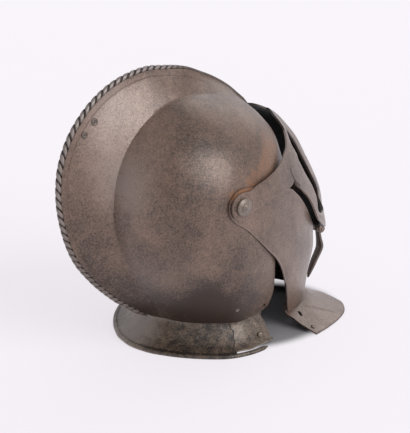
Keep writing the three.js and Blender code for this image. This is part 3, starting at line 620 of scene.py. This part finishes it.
shape, worn = comb_rope()
add_piece("roped_crest", shape, DARK, "skull", "comb_rope", pale=worn)


# Bevor and visor

def lean_share(shell, turn, reach):
    """Lean from the pivot axis as a share of a right angle: 0 at the pivot, 1 on the middle line."""
    return np.arcsin(np.clip(reach / curve(shell["reach"], turn), 0, 1)) * 2 / np.pi


def on_shell(shell, side, share_lean, turn, ridge=None):
    """Shell point from the lean share and the turn; a ridge table stands the middle out as a keel."""
    share = np.sin(share_lean * np.pi / 2)
    across = across_at(shell, share)
    reach = curve(shell["reach"], turn) * share
    if ridge:
        reach = reach + curve(ridge, turn) * np.clip(1 - np.sqrt(across**2 + 1) / KEEL_HALF, 0, 1)
    return polar(side * across, turn, reach)


FAR_CHART = 10.0


def band(shell, edges, steps, columns, wall, right_openings, left_openings, lift=0.0, ridge=None):
    """Plate that runs from one pivot over the middle to the other between a low and a top edge. On a flat
    chart, the lean share as radius and the turn as angle, each row runs straight from the low to the top
    edge near the pivot and along turn and lean near the middle. The left half's top edge may be lifted and
    crumpled."""
    table = np.array(edges, float)
    chart = []
    for turn, reach in ((table[:, 0], table[:, 1]), (table[:, 2], table[:, 3])):
        radius = lean_share(shell, turn, reach)
        angle = np.radians(turn)
        chart.append(np.column_stack([radius * np.cos(angle), radius * np.sin(angle)]))
    at = np.linspace(0, len(table) - 1, (len(table) - 1) * steps + 1)
    low, top = (rows_curve(c, at)[:, None] for c in chart)
    t = np.linspace(0, 1, columns + 1)[None, :, None]
    straight = low + (top - low) * t
    low_turn, top_turn = (np.degrees(np.arctan2(e[..., 1], e[..., 0])) for e in (low, top))
    low_lean, top_lean = (np.linalg.norm(e, axis=-1) for e in (low, top))
    turn = low_turn + (top_turn - low_turn) * t[..., 0]
    lean = low_lean + (top_lean - low_lean) * t[..., 0]
    polar_share = ease(6, 10, at)[:, None]
    turn = polar_share * turn + (1 - polar_share) * np.degrees(np.arctan2(straight[..., 1], straight[..., 0]))
    lean = polar_share * lean + (1 - polar_share) * np.linalg.norm(straight, axis=-1)
    bent = lift * t[..., 0] * (1 - ease(0.9, 1.0, lean))
    if lift:
        bent = bent + VISOR_CRUMPLE * t[..., 0] ** 4 * ragged(0.8 * at[:, None], 1.0)
    bent = bent * ease(9, 13, at)[:, None]
    right = np.stack([lean, turn], -1)
    left = np.stack([lean, turn + bent], -1)[:-1][::-1]
    both = np.concatenate([right, left])
    rows = len(both)
    angle = np.radians(both[..., 1])
    places = (both[..., :1] * np.stack([np.cos(angle), np.sin(angle)], -1)).reshape(-1, 2)
    on_left = np.repeat(np.arange(rows) >= len(right), columns + 1)
    places[on_left, 0] += FAR_CHART
    quads = grid_quads(rows, columns + 1)
    for shift, outlines in ((0, right_openings), (FAR_CHART, left_openings)):
        for outline in outlines:
            places, quads = cut_opening(places, quads, outline + (shift, 0))
    places[on_left, 0] -= FAR_CHART
    lean = np.linalg.norm(places, axis=1)
    turn = np.degrees(np.arctan2(places[:, 1], places[:, 0]))
    points = on_shell(shell, np.where(on_left, 1, -1), lean, turn, ridge)
    return plate(beaten_out(points, quads), quads, wall)


def chart_outline(shell, turns, reaches, count):
    """Closed smooth outline on the chart through points given by turn and reach."""
    radius = lean_share(shell, turns, reaches)
    angle = np.radians(turns)
    return closed_curve(np.column_stack([radius * np.cos(angle), radius * np.sin(angle)]), count)


def pivot_hole(shell):
    """Outline of the pivot hole on a shell's chart."""
    turns = np.linspace(-180, 180, 24, endpoint=False)
    return chart_outline(shell, turns, np.full(24, PIVOT_HOLE), 48)


def hinge_barrel(radius, start, end, sides):
    """Round bar across the middle at the hasp's hinge, its ends slightly rounded."""
    soft = min(0.4, radius / 4)
    profile = [(radius - soft, start), (radius, start + soft), (radius, end - soft), (radius - soft, end)]
    return turned(profile, sides, (0, PIVOT_Y - HASP["ahead"], HASP["z"]), (1, 0, 0))


hole = [pivot_hole(BEVOR)]
points, quads, inside, edge = band(BEVOR, BEVOR_EDGES, 12, 56, BEVOR_WALL, hole, hole)
add_piece("bevor_plate", (points, quads, NO_TRIANGLES), BROWN, "bevor", "bevor", inside=inside,
          rust=near(points, BEVOR_RUST), pale=np.where(points[:, 2] < BEVOR_LOW_EDGE, EDGE_DARK,
                                                       EDGE_WEAR_AND_HIGHLIGHT) * edge,
          bevel=0.35)


def sight_outline(widest):
    """Outline of the sight on the visor's chart, its share of the reach kept under a widest value."""
    turns, shares = np.array(SIGHT).T
    return chart_outline(VISOR, turns, np.minimum(shares, widest) * curve(VISOR["reach"], turns), 160)


hole = pivot_hole(VISOR)
points, quads, inside, edge = band(VISOR, VISOR_EDGES, 12, 64, VISOR_WALL, [hole, sight_outline(1.0)],
                                   [hole, sight_outline(SIGHT_LEFT_SHARE)], VISOR_LEFT_LIFT, KEEL)
knuckles = [hinge_barrel(HASP["barrel"], s, e, 32) for s, e in ((-HASP["outer"], -HASP["inner"] - 0.4),
                                                                 (HASP["inner"] + 0.4, HASP["outer"]))]
shadow_line = rows_curve(VISOR_SHADOW_LINE, np.linspace(0, len(VISOR_SHADOW_LINE) - 1, 24))
off_shadow_line = np.linalg.norm(points[:, None] - shadow_line, axis=-1).min(1)
# The visor's edges are painted bright on its lit right side and dark, a painted shade, on its left side.
visor_wear_and_painted_light = np.where(points[:, 0] < VISOR_LIT_SIDE, EDGE_WEAR_AND_HIGHLIGHT, VISOR_FAR_EDGE_SHADE) * edge
# The shadow line is painted darker into the visor's colour.
visor_wear_and_painted_light -= SHADOW_LINE_DARK * np.exp(-(off_shadow_line / SHADOW_LINE_HALF) ** 2)
add_piece("visor_plate", join((points, quads, NO_TRIANGLES), *knuckles), BROWN, "visor", "visor",
          inside=inside, pale=visor_wear_and_painted_light, bevel=0.35)


def hasp_bar():
    """Hasp: a kinked bar, its rounded section carried down a smooth curve, below a barrel on the hinge."""
    down = np.linspace(0, len(HASP_BAR) - 1, 61)
    ahead, z, half, thick = rows_curve(HASP_BAR, down).T[..., None]
    spin = np.linspace(0, 2 * np.pi, 24, endpoint=False)[None, :]
    side = np.sign(np.cos(spin)) * np.abs(np.cos(spin)) ** 0.6
    deep = np.sign(np.sin(spin)) * np.abs(np.sin(spin)) ** 0.6
    y = PIVOT_Y - HASP["ahead"] - ahead + thick / 2 * deep
    rings = np.stack(np.broadcast_arrays(half * side, y, HASP["z"] + z), -1)
    return join(hinge_barrel(HASP["barrel"], -HASP["inner"], HASP["inner"], 32), ring_tube(rings[:, ::-1]))


add_piece("hasp_bar", hasp_bar(), DARK, "hasp", "hasp")
add_piece("hasp_hinge_pin", hinge_barrel(HASP["pin"], -HASP["outer"] - 0.8, HASP["outer"] + 0.8, 20), WORN,
          "visor",
          "hasp_pin")


# Neck plates

def rear_rows(place):
    """Neck x, neck back, rim x and rim back at signed places along the rear plate, right negative."""
    rows = np.array(REAR_PLATE, float)
    mirrored = rows[:0:-1] * (-1, 1, -1, 1)
    return rows_curve(np.concatenate([mirrored, rows]), np.asarray(place) + len(rows) - 1)


def on_rear(place, drop, z):
    """Point of the rear plate: drop runs from the neck edge, 0, to the rim, 1; the rim is bent to the
    left."""
    neck_x, neck_back, rim_x, rim_back = np.moveaxis(rear_rows(place), -1, 0)
    x = neck_x + (rim_x - neck_x) * drop + RIM_BENT_LEFT * drop
    back = neck_back + (rim_back - neck_back) * drop
    return np.stack(np.broadcast_arrays(x, PIVOT_Y + back, z), -1)


def flare(table, rows):
    """Smooth drop and height down a neck plate, from a table of (drop, z)."""
    drop, z = rows_curve(table, np.linspace(0, len(table) - 1, rows)).T
    return drop[None, :], z[None, :]


def rear_plate():
    """Flared plate from the torn right end round the back to the left end, and the roll along its rim."""
    drop, z = flare(REAR_FLARE, 30)
    s = np.linspace(0, 1, 260)[:, None]
    torn = -TORN_AT + ragged(np.linspace(0, 1, 30)[None, :], 0.1)
    place = torn + (PLATE_END - torn) * s
    points = on_rear(place, drop, z).reshape(-1, 3)
    quads = grid_quads(260, 30)
    points = beaten_out(points, quads, 0.4)
    shell, faces, inside, _ = plate(points, quads, GORGET_WALL)

    place = np.linspace(-ROLL_END, PLATE_END, 300)
    centre = on_rear(place, 1.0, RIM_HEIGHT)
    way = np.gradient(centre, axis=0)
    way /= np.linalg.norm(way, axis=1)[:, None]
    out = np.column_stack([way[:, 1], -way[:, 0], np.zeros(len(way))])
    spin = np.linspace(0, 2 * np.pi, 16, endpoint=False) + np.pi / 16
    ends = np.minimum(1, 0.35 + 0.12 * np.minimum(np.arange(300), np.arange(300)[::-1]))
    radius = (RIM_ROLL * ends)[:, None, None]
    rings = centre[:, None] + radius * (np.cos(spin)[:, None] * out[:, None]
                                        + np.sin(spin)[:, None] * np.array((0, 0, 1.0)))
    rings[..., 2] = np.maximum(0, rings[..., 2])
    # A painted shadow line along the plate just above the roll, and darker along the torn right end.
    rim_shadow_line = -0.6 * ease(0.86, 0.95, drop) * np.ones((260, 1))
    rim_shadow_line[:2] = -0.9
    shape = join((shell, faces, NO_TRIANGLES), ring_tube(rings))
    worn = near(shape[0], NECK_PALE)
    worn[:rim_shadow_line.size] += rim_shadow_line.ravel()
    worn[len(shell):] -= 0.15
    return shape, inside, worn


shape, inside, worn = rear_plate()
add_piece("rear_neck_plate", shape, RUSTED, "skull", "rear_gorget", inside=inside, pale=worn,
          bevel=0.3)


def end_plate():
    """Smaller plate under the torn end: the rear plate's own curve one wall and a gap further in."""
    drop, z = flare(END_FLARE, 26)
    low = np.linspace(0, 1, 26)[None, :]
    first = -PLATE_END + 0.17 + ragged(low, 0.08)
    s = np.linspace(0, 1, 90)[:, None]
    place = first + (-END_PLATE_FROM - first) * s
    drop = drop + 0.03 * low**3 * np.sin(14 * s + 0.5)
    quads = grid_quads(90, 26)
    points = on_rear(place, drop, z).reshape(-1, 3)
    points = beaten_out(points, quads, 0.4)
    points = points - (GORGET_WALL + 0.4) * sheet_normals(points, quads)
    return plate(points, quads, GORGET_WALL)


points, quads, inside, edge = end_plate()
add_piece("rear_end_plate", (points, quads, NO_TRIANGLES), RUSTED, "skull", "rear_gorget_end_plate",
          inside=inside, pale=EDGE_WEAR_AND_HIGHLIGHT * edge - 0.15, bevel=0.3)


FRONT_SLOT = {"at": (-66.1, -84.3), "along": (-0.91, 0.41), "half": (4.6, 1.5)}
FRONT_PALE = 0.2
FRONT_CREASE = {"from": (-57.0, -103.0), "to": (-72.0, -128.0), "half": 2.0, "high": 0.9}


def front_plate():
    """Flared plate under the bevor: straight lines from the upper edge to the rim down a smooth flare, with
    a raised crease across its right half and a slot in its right end."""
    rows = np.array(FRONT_PLATE, float)
    whole = np.concatenate([rows, rows[-2::-1] * (-1, 1, -1, 1)])
    top_x, top_ahead, rim_x, rim_ahead = rows_curve(whole, np.linspace(0, len(whole) - 1, 220)).T[..., None]
    drop, z = flare(FRONT_FLARE, 40)
    x = top_x + (rim_x - top_x) * drop
    ahead = top_ahead + (rim_ahead - top_ahead) * drop
    points = np.stack(np.broadcast_arrays(x, PIVOT_Y - ahead, z), -1).reshape(-1, 3)
    quads = grid_quads(220, 40)
    spin = np.linspace(0, 2 * np.pi, 32, endpoint=False)[:, None]
    along = np.array(FRONT_SLOT["along"])
    slot = (FRONT_SLOT["half"][0] * np.cos(spin) * along
            + FRONT_SLOT["half"][1] * np.sin(spin) * np.array((-along[1], along[0])) + FRONT_SLOT["at"])
    moved, quads = cut_opening(points[:, :2], quads, slot)
    slid = np.any(moved != points[:, :2], 1)
    points[slid, :2] = moved[slid]
    start, end = np.array(FRONT_CREASE["from"]), np.array(FRONT_CREASE["to"])
    t = np.clip((points[:, :2] - start) @ (end - start) / ((end - start) @ (end - start)), 0, 1)
    off = np.linalg.norm(points[:, :2] - start - t[:, None] * (end - start), axis=1)
    points[:, 2] += FRONT_CREASE["high"] * np.exp(-(off / FRONT_CREASE["half"]) ** 2)
    return plate(beaten_out(points, quads, 0.7), quads, GORGET_WALL)


points, quads, inside, edge = front_plate()
add_piece("front_neck_plate", (points, quads, NO_TRIANGLES), BROWN, "bevor", "front_gorget",
          inside=inside, pale=FRONT_PALE + EDGE_DARK * edge, bevel=0.3)


# Rivets

for side, name, node in ((-1, "right_pivot_head", "pivot_rivet_right"), (1, "left_pivot_head",
                                                                         "pivot_rivet_left")):
    add_piece(name, turned(PIVOT_HEAD, 48, (0, PIVOT_Y, PIVOT_Z), (side, 0, 0)), WORN, "skull", node)

for name, node, body, foot, out, radius, height in RIVETS:
    axis = np.array(out, float) / np.linalg.norm(out)
    dome = [(radius, -0.3), (radius, 0.2), (0.86 * radius, 0.6 * height), (0.62 * radius, height),
            (0.45 * radius, 0.85 * height), (0.25 * radius, 0.6 * height), (0.02, 0.55 * height)]
    steel = DARK if node.startswith("comb") else WORN
    add_piece(name, turned(dome, 32, np.array(foot) + 0.3 * axis, axis), steel, body, node)


# Studio: pale floor that glows, with a painted shadow under the helmet, soft light from the helmet's right
# and front, camera at the photo's angle

# The floor glows outside an ellipse under the helmet; inside it the glow is left off, a painted shadow that
# stays dark.
PAINTED_SHADOW_MIDDLE = (-12.0, -62.0)
PAINTED_SHADOW_HALF = (84.0, 105.0)
FLOOR_COLOUR = "8c8a8d"
FLOOR_GLOW = 0.69


def pale_floor():
    """Flat pale sweep that glows: rings of points round the helmet, a painted shadow under it where the glow
    is left off, and glowing further out."""
    spin = np.linspace(0, 2 * np.pi, 96, endpoint=False)
    rings = np.array([0.0, 0.4, 0.7, 0.86, 0.91, 0.96, 1.01, 1.06, 1.2, 1.6, 3.0, 80.0])[:, None]
    x = PAINTED_SHADOW_MIDDLE[0] + PAINTED_SHADOW_HALF[0] * rings * np.cos(spin)
    y = PAINTED_SHADOW_MIDDLE[1] + PAINTED_SHADOW_HALF[1] * rings * np.sin(spin)
    points = np.stack(np.broadcast_arrays(x, y, 0.0), -1)
    glow_outside_painted_shadow = np.broadcast_to(ease(0.86, 1.06, rings), points.shape[:2])
    quads = grid_quads(len(rings), 97).reshape(len(rings) - 1, 96, 4)
    corner = np.arange(len(rings))[:, None] * 96 + np.arange(97)[None, :] % 96
    quads = corner.ravel()[quads].reshape(-1, 4)
    mesh = bpy.data.meshes.new("pale_floor")
    mesh.from_pydata((points.reshape(-1, 3) * MM).tolist(), [], quads.tolist())
    mesh.validate()
    layer = mesh.attributes.new("glow_outside_painted_shadow", "FLOAT", "POINT")
    layer.data.foreach_set("value", glow_outside_painted_shadow.astype(np.float32).ravel())
    material = bpy.data.materials.new("glowing_sweep_painted_shadow")
    material.use_nodes = True
    tree = material.node_tree
    tree.nodes.clear()
    lit = add_node(tree, "ShaderNodeAttribute", attribute_name="glow_outside_painted_shadow").outputs["Fac"]
    # Glow strength: none in the painted shadow, full further out.
    level = add_node(tree, "ShaderNodeMath", {0: lit, 1: FLOOR_GLOW}, operation="MULTIPLY").outputs[0]
    shader = add_node(tree, "ShaderNodeBsdfPrincipled", {"Base Color": linear(FLOOR_COLOUR), "Roughness": 0.9,
                                                         "Emission Color": linear("fbf7fc"),
                                                         "Emission Strength": level})
    add_node(tree, "ShaderNodeOutputMaterial", {"Surface": shader.outputs[0]})
    mesh.materials.append(material)
    floor = bpy.data.objects.new("pale_floor", mesh)
    bpy.context.scene.collection.objects.link(floor)


def soft_light(name, toward, width, strength):
    """Large distant soft box: light from one direction, as wide as that many degrees."""
    light = bpy.data.lights.new(name, "SUN")
    light.angle = math.radians(width)
    light.energy = strength
    lamp = bpy.data.objects.new(name, light)
    bpy.context.scene.collection.objects.link(lamp)
    lamp.rotation_euler = (-Vector(toward)).to_track_quat("-Z", "Y").to_euler()


pale_floor()
soft_light("side_soft_box", (-0.84, -0.16, 0.50), 46, 2.0)
soft_light("front_soft_box", (0.30, -0.75, 0.60), 46, 0.42)

world = bpy.data.worlds.new("pale_room")
bpy.context.scene.world = world
world.use_nodes = True
world.node_tree.nodes["Background"].inputs["Color"].default_value = linear("f6f4f8")
world.node_tree.nodes["Background"].inputs["Strength"].default_value = 0.6
bpy.context.scene.view_settings.view_transform = "Standard"

# Camera fitted to the photo: it looks from the back right, 19 degrees up, from 1.7 m.
PHOTO_WIDE, PHOTO_HIGH = 410, 433
FOCAL_PIXELS = 1666.0
AIM_PIXEL = (188.5, 194.0)
AIM_POINT = Vector((0.0, 0.0137, 0.150))
VIEW_AWAY = Vector((0.7243, -0.6078, -0.3256)).normalized()
CAMERA_DISTANCE = 1.7
SENSOR = 36.0

view_right = VIEW_AWAY.cross(Vector((0, 0, 1))).normalized()
view_up = view_right.cross(VIEW_AWAY)
off_x = (PHOTO_WIDE / 2 - AIM_PIXEL[0]) / FOCAL_PIXELS
off_y = (PHOTO_HIGH / 2 - AIM_PIXEL[1]) / FOCAL_PIXELS
lens = bpy.data.cameras.new("photo_camera")
lens.sensor_width = SENSOR
lens.lens = FOCAL_PIXELS * SENSOR / max(PHOTO_WIDE, PHOTO_HIGH)
camera = bpy.data.objects.new("photo_camera", lens)
bpy.context.scene.collection.objects.link(camera)
camera.location = AIM_POINT - CAMERA_DISTANCE * VIEW_AWAY
camera.rotation_euler = (VIEW_AWAY + off_x * view_right - off_y * view_up).to_track_quat("-Z", "Y").to_euler()
bpy.context.scene.camera = camera
